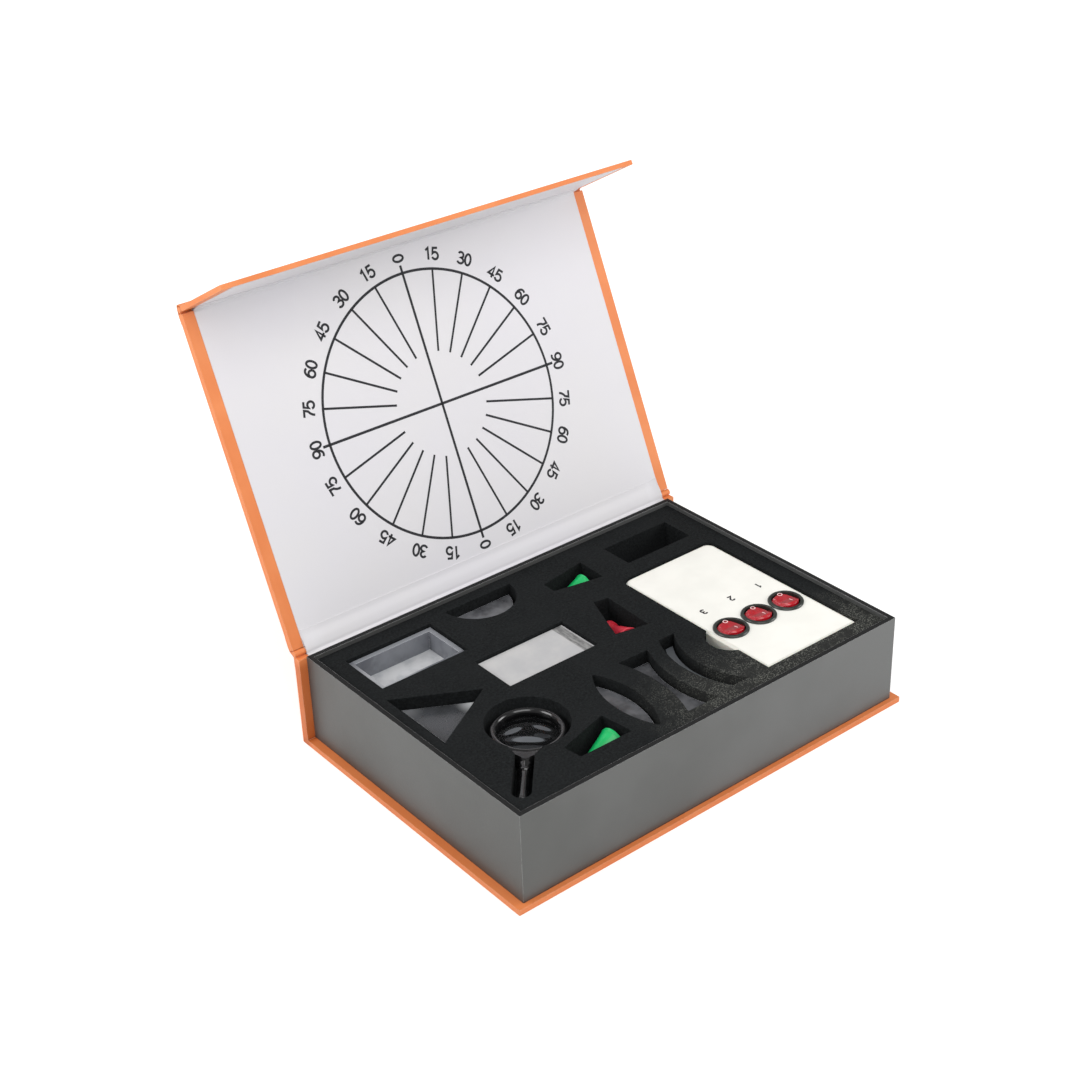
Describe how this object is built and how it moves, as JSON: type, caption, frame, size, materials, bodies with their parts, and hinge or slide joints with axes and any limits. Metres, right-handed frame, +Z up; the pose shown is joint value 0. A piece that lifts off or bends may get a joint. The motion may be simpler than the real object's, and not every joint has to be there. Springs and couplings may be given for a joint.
{
  "type": "optics ray box kit in a case",
  "caption": "Book-shaped presentation case with a folding front flap, foam tray, ray box with rocker switches, lenses, prism, mirror, water tank, magnifier and small figures.",
  "frame": {"origin": "centre of the tray on the underside of the base board", "axes": "+X along the lid hinge, -Y to the front where the flap closes, +Z up"},
  "size_m": [0.276, 0.2756, 0.2641],
  "materials": {
    "board": "matt",
    "cover_paper": "satin",
    "lining_paper": "matt",
    "tray_paper": "satin",
    "foam": "matt",
    "magnet": "plated",
    "shell_plastic": "satin",
    "label": "satin",
    "cell": "printed sleeve",
    "contact": "plated",
    "module": "turned",
    "window": "tinted",
    "circuit": "coated",
    "steel": "zinc",
    "switch_black": "satin",
    "rocker_red": "translucent",
    "clear": "polished",
    "mirror": "silvered",
    "black_gloss": "polished",
    "green": "satin",
    "red": "satin"
  },
  "bodies": {
    "case": {"base_board": "board", "spine_board": "board", "cover_paper_base": "cover_paper", "hinge_lining": "lining_paper", "tray_box": "board", "tray_paper": "tray_paper", "tray_magnets": "magnet", "foam_top_sheet": "foam", "foam_second_sheet": "foam", "foam_pad": "foam"},
    "lid": {"lid_board": "board", "lid_paper": "cover_paper", "lid_lining": "lining_paper"},
    "flap": {"flap_board": "board", "flap_paper": "cover_paper", "flap_lining": "lining_paper", "flap_magnets": "magnet"},
    "ray_box": {"raybox_top_shell": "shell_plastic", "raybox_bottom_shell": "shell_plastic", "raybox_label": "label", "battery_door": "shell_plastic", "battery_cells": "cell", "battery_contacts": "contact", "laser_modules": "module", "beam_windows": "window", "wiring_board": "circuit", "shell_screws": "steel", "switch_terminals": "contact", "switch_body_1": "switch_black", "switch_body_2": "switch_black", "switch_body_3": "switch_black"},
    "rocker_a": {"rocker_1": "rocker_red"},
    "rocker_b": {"rocker_2": "rocker_red"},
    "rocker_c": {"rocker_3": "rocker_red"},
    "tank": {"water_tank": "clear"},
    "block": {"glass_block": "clear"},
    "prism_piece": {"prism": "clear"},
    "convex_piece": {"biconvex_lens": "clear"},
    "concave_piece": {"biconcave_lens": "clear"},
    "mirror_piece": {"curved_mirror": "mirror"},
    "plano_piece": {"planoconvex_lens": "clear"},
    "magnifier": {"magnifier_frame": "black_gloss", "magnifier_lens": "clear", "magnifier_handle": "black_gloss"},
    "figure_green_front": {"pawn_green_front": "green"},
    "figure_green_back": {"pawn_green_back": "green"},
    "figure_red": {"pawn_red": "red"}
  },
  "joints": [
    {"name": "lid_hinge", "type": "hinge", "parent": "case", "child": "lid", "pos_m": [0, 0.098, 0.058], "axis": [-1, 0, 0], "range_deg": [-113.8, 66.2]},
    {"name": "flap_hinge", "type": "hinge", "parent": "lid", "child": "flap", "pos_m": [0, 0.17802, 0.23572], "axis": [-1, 0, 0], "range_deg": [-5.3, 84.7]},
    {"name": "rocker_a_tilt", "type": "hinge", "parent": "ray_box", "child": "rocker_a", "pos_m": [0.062, -0.03661, 0.0516], "axis": [1, 0, 0], "range_deg": [0, 18]},
    {"name": "rocker_b_tilt", "type": "hinge", "parent": "ray_box", "child": "rocker_b", "pos_m": [0.0834, -0.03661, 0.0516], "axis": [1, 0, 0], "range_deg": [0, 18]},
    {"name": "rocker_c_tilt", "type": "hinge", "parent": "ray_box", "child": "rocker_c", "pos_m": [0.1048, -0.03661, 0.0516], "axis": [1, 0, 0], "range_deg": [0, 18]},
    {"name": "ray_box_lift", "type": "slide", "parent": "case", "child": "ray_box", "axis": [0, 0, 1], "range_m": [0, 0.045]},
    {"name": "tank_lift", "type": "slide", "parent": "case", "child": "tank", "axis": [0, 0, 1], "range_m": [0, 0.03]},
    {"name": "block_lift", "type": "slide", "parent": "case", "child": "block", "axis": [0, 0, 1], "range_m": [0, 0.03]},
    {"name": "prism_piece_lift", "type": "slide", "parent": "case", "child": "prism_piece", "axis": [0, 0, 1], "range_m": [0, 0.03]},
    {"name": "convex_piece_lift", "type": "slide", "parent": "case", "child": "convex_piece", "axis": [0, 0, 1], "range_m": [0, 0.03]},
    {"name": "concave_piece_lift", "type": "slide", "parent": "case", "child": "concave_piece", "axis": [0, 0, 1], "range_m": [0, 0.03]},
    {"name": "mirror_piece_lift", "type": "slide", "parent": "case", "child": "mirror_piece", "axis": [0, 0, 1], "range_m": [0, 0.03]},
    {"name": "plano_piece_lift", "type": "slide", "parent": "case", "child": "plano_piece", "axis": [0, 0, 1], "range_m": [0, 0.03]},
    {"name": "magnifier_lift", "type": "slide", "parent": "case", "child": "magnifier", "axis": [0, 0, 1], "range_m": [0, 0.03]},
    {"name": "figure_green_front_lift", "type": "slide", "parent": "case", "child": "figure_green_front", "axis": [0, 0, 1], "range_m": [0, 0.03]},
    {"name": "figure_green_back_lift", "type": "slide", "parent": "case", "child": "figure_green_back", "axis": [0, 0, 1], "range_m": [0, 0.03]},
    {"name": "figure_red_lift", "type": "slide", "parent": "case", "child": "figure_red", "axis": [0, 0, 1], "range_m": [0, 0.03]}
  ]
}
